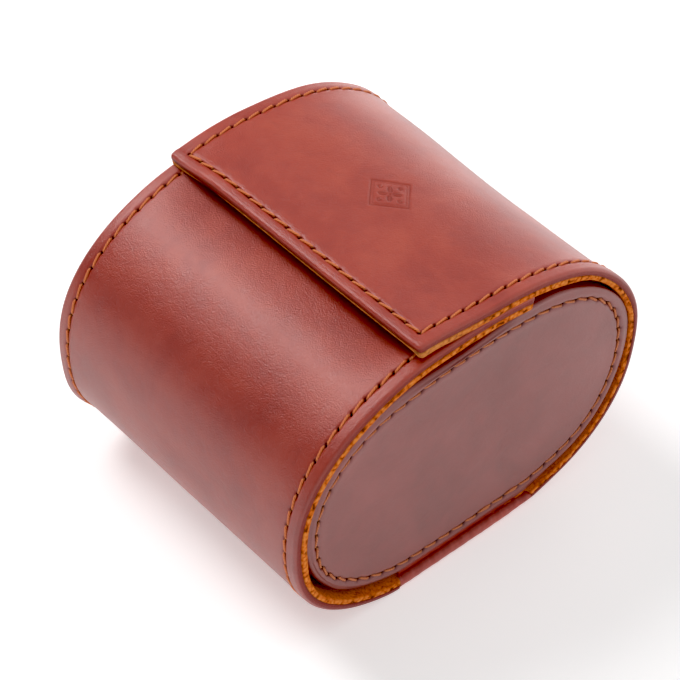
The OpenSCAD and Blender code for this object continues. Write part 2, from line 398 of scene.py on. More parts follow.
def sheet_piece(name, material, s_lines, x_core, top, bottom, wall_steps, free0, free1, side,
                edge_f=EDGE_F, cut_attr=True, rc=1.1, keep=7):
    """One closed stretch of the wrap.
    top(x, s, d_lip, d_end) gives (offset, attributes) of its showing face; bottom is the offset of
    the hidden face; wall_steps are (share of the way down, inset, attributes) of the cut edge;
    free0 and free1 tell whether the strip really ends there; side is +1 if the face shows outward."""
    core = x_core
    f = np.array(edge_f)
    s = s_lines
    X = lip(s)
    ncol = len(core) + 2 * len(f)
    # columns: left lip, core, right lip
    lipx = HALF_L - f[::-1]                       # nominal |x| growing towards the lip
    knee = HALF_L - f[-1]
    cols = np.empty((len(s), ncol))
    right = knee + (X[:, None] - knee) * ((lipx - knee) / (HALF_L - knee))[None, :]
    cols[:, -len(f):] = right
    cols[:, :len(f)] = -right[:, ::-1]
    cols[:, len(f):-len(f)] = core[None, :]
    ss = np.repeat(s[:, None], ncol, 1)
    d_lip = X[:, None] - np.abs(cols)
    d_end = np.full_like(ss, 99.0)
    if free1:
        d_end = np.minimum(d_end, s[-1] - ss)
    if free0:
        d_end = np.minimum(d_end, ss - s[0])
    x2, s2 = cols.copy(), ss.copy()
    if free0 or free1:
        wx, ws = corner_warp(d_lip, d_end, rc)
        x2 = np.sign(cols) * (X[:, None] - wx)
        if free1:
            s2 = np.where(s[-1] - ss <= rc, s[-1] - ws, s2)
        if free0:
            s2 = np.where(ss - s[0] <= rc, s[0] + ws, s2)
    dist = np.minimum(d_lip, d_end)
    o, at = top(x2.ravel(), s2.ravel(), dist.ravel() * 0 + d_lip.ravel(), d_end.ravel())
    b = Build()

    def put(x, s_, o_, at_):
        v = wrap(x, s_, o_)
        return b.add(v, st=np.column_stack([x, s_, o_]) * MM, **at_)

    grid = put(x2.ravel(), s2.ravel(), o, at).reshape(ss.shape)
    flip = side > 0
    b.f.append(quads(grid, flip=not flip))
    # round the sheet: bottom row, right lip, top row back, left lip back
    n, m = ss.shape
    ring = [(0, j) for j in range(m - 1)] + [(i, m - 1) for i in range(n - 1)]
    ring += [(n - 1, j) for j in range(m - 1, 0, -1)] + [(i, 0) for i in range(n - 1, 0, -1)]
    ri, rj = np.array([r[0] for r in ring]), np.array([r[1] for r in ring])
    # inward direction in (x, s)
    on_side = (rj == 0) | (rj == m - 1)
    on_end1 = (ri == n - 1) & bool(free1)
    on_end0 = (ri == 0) & bool(free0)
    ix = np.where(on_side, -np.sign(x2[ri, rj]), 0.0)
    is_ = np.where(on_end1, -1.0, 0.0) + np.where(on_end0, 1.0, 0.0)
    ln = np.maximum(np.hypot(ix, is_), 1e-9)
    ix, is_ = ix / ln, is_ / ln
    x0, s0 = x2[ri, rj], s2[ri, rj]
    o0 = o.reshape(ss.shape)[ri, rj]
    rings = [grid[ri, rj]]
    for share, inset, extra in wall_steps:
        oo = o0 + (bottom - o0) * share
        p = np.column_stack([x0, s0, oo])
        wob = extra.get("_rough", 0.0)
        deep = inset + extra.get("_skive", 0.0) * np.abs(is_) if free1 else inset
        xx, s_, oo2 = x0 + ix * inset, s0 + is_ * deep, oo
        if wob:
            k = wob * (0.8 * noise(p + 7, 0.8, 11) + 0.6 * noise(p + 3, 2.1, 12))
            xx, s_ = xx + ix * k, s_ + is_ * k
        at_ = {k: (np.full(len(x0), v) if np.ndim(v) == 0 else v) for k, v in extra.items() if k[0] != "_"}
        if "tan" in at:
            at_["tan"] = tan_of(s0)
        if "side_shade" in at:
            at_["side_shade"] = side_shade_of(s0)
        rings.append(put(xx, s_, oo2, at_))
    rings = np.array(rings)
    loop = np.column_stack([rings, rings[:, :1]])
    b.f.append(quads(loop, flip=flip))
    # hidden face, coarse across
    last = rings[-1]
    where = {r: k for k, r in enumerate(ring)}
    js = sorted(set(np.linspace(0, m - 1, keep).round().astype(int)))
    mid = js[1:-1]
    xi = x2[1:-1][:, mid]
    si = s2[1:-1][:, mid]
    last_at = {k: v for k, v in wall_steps[-1][2].items() if k[0] != "_"}
    inner = put(xi.ravel(), si.ravel(), np.full(xi.size, bottom),
                {**{k: np.full(xi.size, v) for k, v in last_at.items()},
                 **({"tan": tan_of(si.ravel())} if "tan" in at else {}),
                 **({"side_shade": side_shade_of(si.ravel())} if "side_shade" in at else {})}).reshape(xi.shape)
    left = np.array([last[where[(i, 0)]] for i in range(1, n - 1)])
    rght = np.array([last[where[(i, m - 1)]] for i in range(1, n - 1)])
    rows = np.column_stack([left, inner, rght])
    b.f.append(quads(rows, flip=flip))
    for k in range(len(js) - 1):
        a_, c_ = js[k], js[k + 1]
        first = [int(last[where[(0, j)]]) for j in range(a_, c_ + 1)]
        face = first + [int(rows[0, k + 1]), int(rows[0, k])]
        b.f.append(face if side > 0 else face[::-1])
        lastrow = [int(last[where[(n - 1, j)]]) for j in range(a_, c_ + 1)]
        face = lastrow[::-1] + [int(rows[-1, k]), int(rows[-1, k + 1])]
        b.f.append(face if side > 0 else face[::-1])
    return b.make(name, material, sharp=58)


# ------------------------------------------------------------------ materials
def nodes_of(mat):
    mat.use_nodes = True
    nt = mat.node_tree
    nt.nodes.clear()
    return nt


class Graph:
    def __init__(self, name):
        self.mat = bpy.data.materials.new(name)
        self.nt = nodes_of(self.mat)
        self.out = self.nt.nodes.new("ShaderNodeOutputMaterial")
        self.bsdf = self.nt.nodes.new("ShaderNodeBsdfPrincipled")
        self.link(self.bsdf.outputs[0], self.out.inputs[0])

    def link(self, a, b):
        self.nt.links.new(a, b)

    def node(self, kind, **kw):
        n = self.nt.nodes.new(kind)
        for k, v in kw.items():
            setattr(n, k, v)
        return n

    def attr(self, name, out="Fac"):
        n = self.node("ShaderNodeAttribute")
        n.attribute_name = name
        return n.outputs[out]

    def noise(self, vec, scale, detail=3.0, rough=0.5, distortion=0.0):
        n = self.node("ShaderNodeTexNoise")
        n.inputs["Scale"].default_value = scale
        n.inputs["Detail"].default_value = detail
        n.inputs["Roughness"].default_value = rough
        n.inputs["Distortion"].default_value = distortion
        self.link(vec, n.inputs["Vector"])
        return n.outputs["Fac"]

    def voronoi(self, vec, scale, feature="F1", out="Distance"):
        n = self.node("ShaderNodeTexVoronoi", feature=feature)
        n.inputs["Scale"].default_value = scale
        self.link(vec, n.inputs["Vector"])
        return n.outputs[out]

    def ramp(self, fac, stops):
        n = self.node("ShaderNodeValToRGB")
        el = n.color_ramp.elements
        while len(el) < len(stops):
            el.new(0.5)
        for e, (pos, col) in zip(el, stops):
            e.position = pos
            e.color = (*col, 1) if len(col) == 3 else col
        self.link(fac, n.inputs[0])
        return n.outputs[0]

    def math(self, op, a, b=0.0, clamp=False):
        n = self.node("ShaderNodeMath", operation=op)
        n.use_clamp = clamp
        for i, v in enumerate((a, b)):
            if hasattr(v, "links"):
                self.link(v, n.inputs[i])
            else:
                n.inputs[i].default_value = v
        return n.outputs[0]

    def mix(self, fac, a, b, blend="MIX"):
        n = self.node("ShaderNodeMix", data_type="RGBA", blend_type=blend)
        for i, v in ((0, fac), (6, a), (7, b)):
            if hasattr(v, "links"):
                self.link(v, n.inputs[i])
            else:
                n.inputs[i].default_value = (*v, 1) if i else v
        return n.outputs[2]

    def scale(self, vec, xyz):
        n = self.node("ShaderNodeVectorMath", operation="MULTIPLY")
        self.link(vec, n.inputs[0])
        n.inputs[1].default_value = xyz
        return n.outputs[0]

    def bump(self, height, strength, distance, normal=None):
        n = self.node("ShaderNodeBump")
        n.inputs["Strength"].default_value = strength
        n.inputs["Distance"].default_value = distance
        self.link(height, n.inputs["Height"])
        if normal is not None:
            self.link(normal, n.inputs["Normal"])
        return n.outputs[0]

    def set(self, **kw):
        for k, v in kw.items():
            s = self.bsdf.inputs[k.replace("_", " ")]
            if hasattr(v, "links"):
                self.link(v, s)
            else:
                s.default_value = v


def leather_material(name, dark, mid, light, rough=0.37, coat=0.14, spec=0.95, grain_depth=0.00019):
    g = Graph(name)
    st = g.attr("st", "Vector")
    cloud = g.noise(st, 46.0, 5.0, 0.6, 0.5)
    mottle = g.noise(st, 260.0, 5.0, 0.65, 0.5)
    speck = g.noise(st, 2300.0, 3.0, 0.7)
    base = g.ramp(cloud, [(0.34, dark), (0.50, mid), (0.66, light)])
    base = g.mix(g.math("MULTIPLY", g.math("SUBTRACT", mottle, 0.49, True), 2.4, True), base, light)
    base = g.mix(g.math("MULTIPLY", g.math("SUBTRACT", 0.47, mottle, True), 2.4, True), base, dark)
    base = g.mix(g.math("MULTIPLY", g.math("SUBTRACT", speck, 0.54, True), 1.8, True), base, dark)
    pores = g.voronoi(st, 3000.0)
    base = g.mix(g.math("MULTIPLY", g.math("SUBTRACT", 0.30, pores, True), 1.3, True), base,
                 tuple(c * 0.45 for c in dark))
    # the upright sides are darkened through the side shade mask: painted shade
    base = g.mix(g.math("MULTIPLY", g.attr("side_shade"), 0.9), base, (0.72, 0.60, 0.62), "MULTIPLY")
    # the edge mask darkens the burnished cut edges, and also the front leather tucked under the flap: painted shade
    # there
    burnish_and_shade = g.attr("edge")
    base = g.mix(burnish_and_shade, base, (0.230, 0.0200, 0.0110))
    raw = g.attr("raw")
    base = g.mix(raw, base, (0.42, 0.17, 0.10))
    # pit marks stitch holes, tooled lines and the foot of the cut walls; darkening them nearly to black is painted
    # shade
    hole_shade = g.attr("pit")
    base = g.mix(hole_shade, base, (0.006, 0.0006, 0.0006))
    grain = g.noise(st, 2900.0, 4.0, 0.75)
    crease = g.voronoi(g.scale(st, (1650.0, 1350.0, 1500.0)), 1.0, "DISTANCE_TO_EDGE")
    h = g.math("ADD", g.math("MULTIPLY", pores, 0.35), g.math("MULTIPLY", grain, 1.0))
    h = g.math("ADD", h, g.math("MULTIPLY", g.math("MINIMUM", crease, 0.12), 1.8))
    nrm = g.bump(h, 0.50, grain_depth)
    nrm = g.bump(mottle, 0.30, 0.00035, nrm)
    r = g.math("ADD", g.math("MULTIPLY", mottle, 0.14), rough - 0.09)
    r = g.math("ADD", r, g.math("MULTIPLY", grain, 0.06))
    r = g.math("ADD", r, g.math("MULTIPLY", g.math("MAXIMUM", hole_shade, raw), 0.25), True)
    dull = g.math("MAXIMUM", g.math("MAXIMUM", hole_shade, raw), g.math("MULTIPLY", burnish_and_shade, 0.92))
    keep = g.math("SUBTRACT", 1.0, dull, True)
    g.set(Base_Color=base, Roughness=r, Normal=nrm,
          Specular_IOR_Level=g.math("ADD", g.math("MULTIPLY", keep, spec - 0.1), 0.1),
          Coat_Weight=g.math("MULTIPLY", keep, coat), Coat_Roughness=0.30)
    return g.mat


def suede_material(name, dark, mid, light, cut):
    g = Graph(name)
    st = g.attr("st", "Vector")
    nap = g.noise(g.scale(st, (1300.0, 1000.0, 1300.0)), 1.0, 4.0, 0.7, 0.5)
    patch = g.noise(st, 260.0, 4.0, 0.6, 0.4)
    fibre = g.noise(g.scale(st, (3600.0, 2400.0, 3600.0)), 1.0, 3.0, 0.7, 1.0)
    lump = g.voronoi(g.scale(st, (820.0, 780.0, 900.0)), 1.0)
    base = g.ramp(nap, [(0.34, dark), (0.50, mid), (0.66, light)])
    base = g.mix(g.math("MULTIPLY", g.math("SUBTRACT", patch, 0.46, True), 2.0, True), base, light)
    base = g.mix(g.math("MULTIPLY", g.math("SUBTRACT", fibre, 0.54, True), 2.4, True), base, dark)
    edge = g.attr("edge")
    # the cut edge is painted lighter on its fibre lumps and dark between them: painted highlight and painted shade
    torn_lit_and_shaded = g.ramp(g.math("ADD", g.math("MULTIPLY", lump, 0.55), g.math("MULTIPLY", nap, 0.45)),
                  [(0.36, cut), (0.54, mid), (0.70, (0.12, 0.018, 0.003))])
    base = g.mix(edge, base, torn_lit_and_shaded)
    tan = g.attr("tan")
    base = g.mix(g.math("MULTIPLY", tan, 0.5), base, (0.66, 0.30, 0.110))
    # pit darkens the lining's cut edge where it meets the leather: painted shade in the joint
    hole_shade = g.attr("pit")
    base = g.mix(hole_shade, base, (0.03, 0.006, 0.002))
    h = g.math("ADD", g.math("MULTIPLY", nap, 0.7), g.math("MULTIPLY", fibre, 0.5))
    h = g.math("SUBTRACT", h, g.math("MULTIPLY", g.math("MULTIPLY", lump, edge), 0.9))
    nrm = g.bump(h, 1.0, 0.00040)
    g.set(Base_Color=base, Roughness=0.95, Normal=nrm, Specular_IOR_Level=0.15, Sheen_Weight=0.12,
          Sheen_Roughness=0.5)
    g.bsdf.inputs["Sheen Tint"].default_value = (1.0, 0.55, 0.22, 1)
    return g.mat


def thread_material(name, dark, light):
    g = Graph(name)
    st = g.attr("st", "Vector")
    fine = g.noise(g.scale(st, (5200.0, 5200.0, 5200.0)), 1.0, 3.0, 0.6)
    ply = g.attr("ply")
    base = g.ramp(fine, [(0.30, dark), (0.68, light)])
    # the grooves between the two plies are darkened: painted shade
    base = g.mix(g.math("MULTIPLY", g.math("SUBTRACT", 1.0, ply), 0.5, True), base, tuple(c * 0.45 for c in dark))
    # the ends, where the thread sinks into the holes, are darkened nearly to black: painted shade
    deep = g.attr("pit")
    base = g.mix(deep, base, (0.02, 0.002, 0.001))
    nrm = g.bump(fine, 0.5, 0.00006)
    g.set(Base_Color=base, Roughness=0.6, Normal=nrm, Specular_IOR_Level=0.3)
    return g.mat


def object_material(name, colour_a, colour_b, scale, rough, metallic=0.0, bump=0.3, depth=0.0001, stretch=(1, 1, 1)):
    g = Graph(name)
    tc = g.node("ShaderNodeTexCoord").outputs["Object"]
    v = g.scale(tc, tuple(scale * k for k in stretch))
    n = g.noise(v, 1.0, 4.0, 0.6)
    g.set(Base_Color=g.ramp(n, [(0.35, colour_a), (0.65, colour_b)]),
          Roughness=g.math("ADD", g.math("MULTIPLY", n, 0.2), rough - 0.1), Metallic=metallic,
          Normal=g.bump(n, bump, depth))
    return g.mat


LEATHER = leather_material("waxed_leather", (0.370, 0.0270, 0.0110), (0.445, 0.0420, 0.0185), (0.505, 0.0620, 0.0290))
# the end panels use a darker, browner copy of the wrap leather, as they face away from the key light: painted shade
LEATHER_SHADED_END = leather_material("waxed_leather_shaded_end", (0.205, 0.0260, 0.0180), (0.250, 0.0370, 0.0280),
                               (0.292, 0.050, 0.040), rough=0.44, coat=0.32, spec=1.0, grain_depth=0.00018)
# the last colour is the cut edge's painted highlight, lighter than the suede
SUEDE_M = suede_material("orange_suede", (0.36, 0.060, 0.008), (0.76, 0.168, 0.024), (0.88, 0.260, 0.048),
                         (0.93, 0.320, 0.075))
THREAD = thread_material("tan_thread", (0.72, 0.180, 0.066), (0.98, 0.340, 0.135))
# a darker copy of the thread for the end panels: painted shade
THREAD_SHADED_END = thread_material("tan_thread_shaded_end", (0.50, 0.140, 0.054), (0.84, 0.310, 0.140))
BOARD = object_material("grey_board", (0.22, 0.20, 0.18), (0.36, 0.33, 0.30), 900.0, 0.9)
STEEL = object_material("nickel_disc", (0.55, 0.55, 0.56), (0.74, 0.74, 0.75), 1400.0, 0.32, metallic=1.0,
                        bump=0.1, depth=0.00004, stretch=(1, 6, 1))


# ------------------------------------------------------------- wrap: leather
def rosette(x, s):
    """Blind-tooled lozenge with four leaves, pressed into the flap: depth at (x, s)."""
    u, v = (x - EMB_X) / 6.1, (s - EMB_S) / 6.1
    m = np.abs(u) + np.abs(v)
    line = np.exp(-(((m - 0.98) / 0.045) ** 2)) + 0.8 * np.exp(-(((m - 0.84) / 0.028) ** 2))
    leaf = np.zeros_like(u)
    for k in range(4):
        a = math.radians(45 + 90 * k)
        p, q = u * math.cos(a) + v * math.sin(a), -u * math.sin(a) + v * math.cos(a)
        w = 0.125 * np.sqrt(np.clip(1 - ((p - 0.25) / 0.19) ** 2, 0, 1))
        inside = smooth((w - np.abs(q)) / 0.035) * (np.abs(p - 0.25) < 0.19)
        leaf = np.maximum(leaf, inside * (1 - 0.75 * np.exp(-(q / 0.022) ** 2)))
        a2 = math.radians(90 * k)
        p2, q2 = u * math.cos(a2) + v * math.sin(a2), -u * math.sin(a2) + v * math.cos(a2)
        leaf = np.maximum(leaf, np.exp(-(((np.hypot(p2 - 0.52, q2) - 0.07) / 0.03) ** 2)))
    leaf = np.maximum(leaf, np.exp(-((np.hypot(u, v) / 0.055) ** 4)))
    return np.clip(np.maximum(line, leaf), 0, 1)


def side_shade_of(s):
    """The upright sides are darker than the top: painted shade where less light falls."""
    t = np.interp(s, S_ALL, T_ALL)
    u = np.abs(np.where(t > 330, t - 450, t - 90))
    return smooth((u - 36) / 26)


def leather_top(flap, hidden_from=None):
    def top(x, s, d_lip, d_end):
        hidden = 0.0
        if hidden_from is not None:
            hidden = smooth((hidden_from - s) / 6.0)
        o, hole = leather_relief(x, s, d_lip, d_end, flap, hidden)
        if flap:
            tool = rosette(x, s)
            o = o - 0.24 * tool
            hole = np.maximum(hole, 0.16 * tool)
        dd = np.minimum(d_lip, d_end) if flap else d_lip
        edge = 0.75 * smooth((0.14 - dd) / 0.14) + 0.10 * smooth((0.6 - dd) / 0.6)
        # the front leather tucked under the flap is darkened through the burnish mask: painted shade under the flap
        if hidden_from is not None:
            edge = np.maximum(edge, 0.85 * smooth((s_of(110.5) - s) / 4.5) * (np.abs(x) < 38.5))
        # pit carries the holes and tooled lines into the material's painted shade
        return o, {"edge": np.clip(edge, 0, 1), "pit": np.clip(hole * 1.5, 0, 1), "raw": 0.0 * hole,
                   "side_shade": side_shade_of(s)}
    return top


LEATHER_WALL = [(0.22, -0.02, {"edge": 0.85, "pit": 0.0, "raw": 0.0, "_skive": 0.0}),
                (0.50, -0.03, {"edge": 1.0, "pit": 0.0, "raw": 0.0, "_skive": 0.02}),
                (0.78, 0.0, {"edge": 1.0, "pit": 0.0, "raw": 0.0, "_skive": 0.06}),
                (1.0, 0.06, {"edge": 0.9, "pit": 0.1, "raw": 0.0, "_skive": 0.12})]

X_SEAM = [s * (SEAM + f) for s in (-1, 1) for f in (-0.95,) + FINE]
X_PLAIN = lines(X_SEAM, (0,), -(HALF_L - 2.6), HALF_L - 2.6, 3.2)
FRONT_HIDE = s_of(104.0)
EMB_X, EMB_S = 0.8, s_of(360 + 81.5)

tab_lines = []
for side_y in (-TAB + TAB_Y, TAB + TAB_Y):
    k = np.argmin(np.abs(P_ALL[:, 0] - side_y) + np.where((T_ALL > 225) & (T_ALL < 320), 0, 999))
    tab_lines += [float(S_ALL[k])]


def s_lines(a, b, extra=(), coarse=1.3, free_a=False, free_b=False):
    marks = [h for h in HOLES_S if a - 1 < h < b + 1]
    ln = list(lines(marks, FINE, a, b, coarse))
    for c in extra:
        ln += [c + f for f in (-0.5, -0.3, -0.15, 0.0, 0.15, 0.3, 0.5) if a < c + f < b]
    ends = [0.0, 0.04, 0.12, 0.24, 0.4, 0.6, 0.85, 1.15, 1.5, 1.9]
    ln = [v for v in ln if not (free_b and v > b - 1.95) and not (free_a and v < a + 1.95)]
    if free_b:
        ln += [b - e for e in ends]
    else:
        ln += [b - 0.12, b]
    if free_a:
        ln += [a + e for e in ends]
    else:
        ln += [a + 0.12, a]
    ln = np.unique(np.round(ln, 4))
    return ln[np.concatenate([[True], np.diff(ln) > 0.015])]


front_leather = sheet_piece("front_wrap", LEATHER, s_lines(0.0, S_BOTTOM, tab_lines, free_a=True), X_PLAIN,
                            leather_top(False, FRONT_HIDE), -HIDE, LEATHER_WALL, True, False, 1)
back_leather = sheet_piece("back_wrap", LEATHER, s_lines(S_BOTTOM, S_BACK, tab_lines), X_PLAIN,
                           leather_top(False), -HIDE, LEATHER_WALL, False, False, 1)
X_FLAP = lines(list(HOLES_X) + X_SEAM, (-0.5, -0.25, -0.08, 0.08, 0.25, 0.5), -(HALF_L - 2.6), HALF_L - 2.6, 1.6)
_fine = np.arange(-6.4, 6.41, 0.25)
X_FLAP = np.unique(np.round(np.concatenate([X_FLAP[np.abs(X_FLAP - EMB_X) > 6.5], EMB_X + _fine]), 4))
_rows = s_lines(S_BACK, S_END, [S_ROW], free_b=True)
_rows = np.unique(np.round(np.concatenate([_rows[np.abs(_rows - EMB_S) > 6.5], EMB_S + _fine]), 4))
flap_leather = sheet_piece("flap_wrap", LEATHER, _rows, X_FLAP,
                           leather_top(True), -HIDE, LEATHER_WALL, False, True, 1)


# ------------------------------------------------------------- wrap: lining
def lining_top(x, s, d_lip, d_end):
    p = np.column_stack([x, s, np.zeros_like(x)])
    t = np.interp(s, S_ALL, T_ALL)
    fluff = 0.6 * smooth((t - 60) / 10) * (1 - smooth((t - 185) / 25)) + 0.55 * smooth((t - 410) / 14)
    o = -WALL + 0.05 * noise(p, 1.1, 21) + 0.05 * noise(p, 4.0, 22) - fluff * smooth((3.4 - d_lip) / 2.6)
    d = np.minimum(d_lip, d_end)
    r = 0.45
    u = np.clip((r - d) / r, 0, 1)
    o = o + r * (1 - np.sqrt(np.clip(1 - u * u, 0, 1)))
    hole = np.zeros_like(x)
    return o, {"edge": smooth((0.5 - d) / 0.5) * 0.6, "pit": hole, "tan": tan_of(s)}


def tan_of(s):
    """The flap's own suede is mixed towards tan near its front edge."""
    return smooth((s - (S_END - 26.0)) / 24.0)


LINING_WALL = [(0.18, 0.02, {"edge": 0.8, "pit": 0.0, "_rough": 0.20}),
               (0.36, -0.03, {"edge": 1.0, "pit": 0.0, "_rough": 0.30}),
               (0.54, -0.04, {"edge": 1.0, "pit": 0.0, "_rough": 0.26}),
               (0.72, -0.01, {"edge": 0.9, "pit": 0.0, "_rough": 0.24}),
               (0.90, 0.10, {"edge": 0.7, "pit": 0.25, "_rough": 0.15}),
               (1.0, 0.20, {"edge": 0.3, "pit": 0.6})]
X_LINING = np.concatenate([np.linspace(-37.2, -33, 6), np.linspace(-30, 30, 16), np.linspace(33, 37.2, 6)])
LIN_F = (0.0, 0.06, 0.15, 0.28, 0.45, 0.8, 1.6, 2.4)


def lining_piece(name, a, b, free_a, free_b, inset=0.0):
    n = int((b - a) / 0.42)
    ln = np.linspace(a, b, n + 1)
    ends = np.array([0.0, 0.06, 0.15, 0.28, 0.45, 0.8])
    if free_b:
        ln = np.concatenate([ln[ln < b - 1.0], b - ends])
    if free_a:
        ln = np.concatenate([ln[ln > a + 1.0], a + ends])
    ln = np.unique(np.round(np.concatenate([ln, [v + f for v in tab_lines for f in (-0.3, -0.15, 0, 0.15, 0.3) if a < v + f < b]]), 4))
    ln = ln[np.concatenate([[True], np.diff(ln) > 0.02])]
    return sheet_piece(name, SUEDE_M, ln, X_LINING, lining_top, -HIDE, LINING_WALL, free_a, free_b, -1,
                       edge_f=LIN_F, rc=1.1, keep=6)


front_lining = lining_piece("front_suede", 0.0, S_BOTTOM, True, False)
back_lining = lining_piece("back_suede", S_BOTTOM, S_BACK, False, False)
flap_lining = lining_piece("flap_suede", S_BACK, S_END - 0.20, False, True)


# ------------------------------------------------------------------ stitches
def thread_tube(b, centre, up, r=THREAD_R, sides=10, twist=1.35, phase=0.0, deep=None):
    """Adds a closed two-ply thread along centre (n, 3), with up (n, 3) as its reference."""
    n = len(centre)
    t = np.gradient(centre, axis=0)
    t /= np.linalg.norm(t, axis=1, keepdims=True)
    side = np.cross(t, up)
    side /= np.linalg.norm(side, axis=1, keepdims=True)
    top = np.cross(side, t)
    ln = np.concatenate([[0], np.cumsum(np.linalg.norm(np.diff(centre, axis=0), axis=1))])
    a = np.linspace(0, 2 * math.pi, sides, endpoint=False)
    turn = 2 * math.pi * ln / twist + phase
    lobe = np.cos(2 * (a[None, :] - turn[:, None]))
    rad = r * (0.93 + 0.14 * lobe)
    taper = np.ones(n)
    taper[0] = taper[-1] = 0.55
    rad = rad * taper[:, None]
    v = (centre[:, None, :] + rad[..., None] * (np.cos(a)[None, :, None] * side[:, None, :]
                                                + np.sin(a)[None, :, None] * top[:, None, :]))
    st = np.stack([np.repeat(ln[:, None], sides, 1), rad * np.cos(a), rad * np.sin(a)], -1)
    st = st + centre[0]
    ply = np.clip(0.5 + 0.5 * lobe, 0, 1)
    # the thread ends marked by deep are darkened in the material: painted shade in the holes
    hole_shade = np.zeros((n, sides)) if deep is None else np.repeat(deep[:, None], sides, 1)
    i = b.add(v.reshape(-1, 3), st=st.reshape(-1, 3) * MM, ply=ply.ravel(), pit=hole_shade.ravel()).reshape(n, sides)
    loop = np.column_stack([i, i[:, 0]])
    b.f.append(quads(loop, flip=False))
    b.f.append(i[0].tolist())
    b.f.append(i[-1][::-1].tolist())


def stitch_path(length, crown, r=THREAD_R, n=19):
    """(along, height of the thread's centre) of one stitch lying between two holes."""
    half = length / 2
    e = np.linspace(-1, 1, n)
    a = np.sign(e) * half * np.abs(e) ** 0.85
    end = np.clip((np.abs(a) - (half - 0.85)) / 0.85, 0, 1)
    h = (crown - r) - 0.86 * end ** 2.0 + 0.05 * np.cos(a / half * math.pi / 2)
    return a, h, smooth((end - 0.38) / 0.42)


def wrap_stitches(name, s_from, s_to, crown_of, front_row=False, base=0.0, sign=1.0, r=THREAD_R, sides=10):
    """Stitches of both side rows between s_from and s_to, and of the flap's front row."""
    b = Build()
    rng = np.random.default_rng(17 + len(name))
    for k in range(len(HOLES_S) - 1):
        s0, s1 = HOLES_S[k], HOLES_S[k + 1]
        mid = (s0 + s1) / 2
        if not (s_from <= mid < s_to):
            continue
        for sx in (-1, 1):
            a, h, deep = stitch_path(s1 - s0 - 0.12, crown_of(mid), r)
            s = mid + a
            x = sx * SEAM + SLANT * (a / (PITCH / 2)) * (1 if sx > 0 else 1) + rng.normal(0, 0.02)
            c = wrap(x, s, base + sign * h)
            up = wrap(x, s, base + sign * (h + 1)) - c
            thread_tube(b, c, up, r, sides, phase=rng.uniform(0, 6.28), deep=deep)
    if front_row:
        for k in range(18):
            mid = (HOLES_X[k] + HOLES_X[k + 1]) / 2
            a, h, deep = stitch_path(PITCH - 0.12, crown_of(S_ROW), r)
            x = mid + a
            s = S_ROW - SLANT * (a / (PITCH / 2)) + rng.normal(0, 0.02)
            c = wrap(x, s, base + sign * h)
            up = wrap(x, s, base + sign * (h + 1)) - c
            thread_tube(b, c, up, r, sides, phase=rng.uniform(0, 6.28), deep=deep)
    return b.make(name, THREAD, sharp=None)


def crown_out(s):
    return 0.06 if s < FRONT_HIDE else 0.26


front_thread = wrap_stitches("front_stitches", 0.0, S_BOTTOM, crown_out)
back_thread = wrap_stitches("back_stitches", S_BOTTOM, S_BACK, lambda s: 0.16)
flap_thread = wrap_stitches("flap_stitches", S_BACK, S_END, crown_out, front_row=True)
front_thread_in = wrap_stitches("front_inner_stitches", 0.0, S_BOTTOM, lambda s: 0.05, base=-WALL, sign=-1.0, sides=8)
back_thread_in = wrap_stitches("back_inner_stitches", S_BOTTOM, S_BACK, lambda s: 0.05, base=-WALL, sign=-1.0, sides=8)
flap_thread_in = wrap_stitches("flap_inner_stitches", S_BACK, S_END, lambda s: 0.05, front_row=True, base=-WALL,
                               sign=-1.0, sides=8)


# ------------------------------------------------------------------- magnets
def magnets(name, t, skin):
    """A pair of nickel discs with worn edges, buried in the leather at t."""
    b = Build()
    s = s_of(t)
    for cx in (-24.0, 24.0):
        a = np.linspace(0, 2 * math.pi, 48, endpoint=False)
        rows = []
        for rad, h in ((0.4, 0), (2.2, 0), (4.1, 0), (4.32, 0.03), (4.44, 0.11), (4.48, 0.25), (4.48, 0.55),
                       (4.44, 0.7), (4.32, 0.78), (4.1, 0.81), (2.2, 0.81), (0.4, 0.81)):
            mid = wrap(cx, s, -skin - 0.81 + h)
            up = wrap(cx, s, 1.0) - wrap(cx, s, 0.0)
            side = np.cross(up[0], [1.0, 0, 0])
            v = mid + rad * (np.cos(a)[:, None] * np.array([[1.0, 0, 0]]) + np.sin(a)[:, None] * side[None, :])
            rows.append(b.add(v, st=v * MM))
        rows = np.array(rows)
        b.f.append(quads(np.column_stack([rows, rows[:, :1]])))
        b.f.append(rows[0].tolist()[::-1])
        b.f.append(rows[-1].tolist())
    return b.make(name, STEEL, sharp=50)


front_magnets = magnets("front_magnet_discs", 86.0, 0.62)
flap_magnets = magnets("flap_magnet_discs", 360 + 86.0, 0.62)


# ---------------------------------------------------------------- end panels
def round_table(theta, table):
    """A smooth periodic curve through (angle, value) pairs."""
    a = np.array([r[0] for r in table], float)
    v = np.array([r[1] for r in table], float)
    return np.interp(np.asarray(theta) % 360.0, np.concatenate([a - 360, a, a + 360]), np.concatenate([v, v, v]))


# the panels are cut by hand: how far rim and seam stray outward, by angle round the panel, in mm
RIM_DRIFT = ((0, 0.0), (13, 0.25), (25, 0.3), (39, 0.8), (51, 1.0), (65, -0.3), (79, -1.7), (100, -2.8), (117, -2.2),
             (128, -1.0), (145, -0.3), (163, -0.3), (179, -0.1), (195, -0.6), (205, -0.6), (214, 0.2), (230, 0.0),
             (320, 0.0), (336, -0.6), (347, -0.6))
SEAM_DRIFT = ((9, -0.1), (18, 0.25), (28, 0.6), (38, 0.8), (50, 0.25), (69, -1.1), (97, -1.4), (126, -1.4), (137, -0.6),
              (148, -0.1), (167, 0.1), (178, 0.5), (205, 0.5), (225, 0.6), (245, 0.25), (270, 0.45), (283, 0.3),
              (300, -0.5), (314, 0.0), (330, -0.5), (342, -0.6), (355, -0.3))


def around(q):
    return np.degrees(np.arctan2(q[:, 1] - 35.6, q[:, 0] - 0.4))


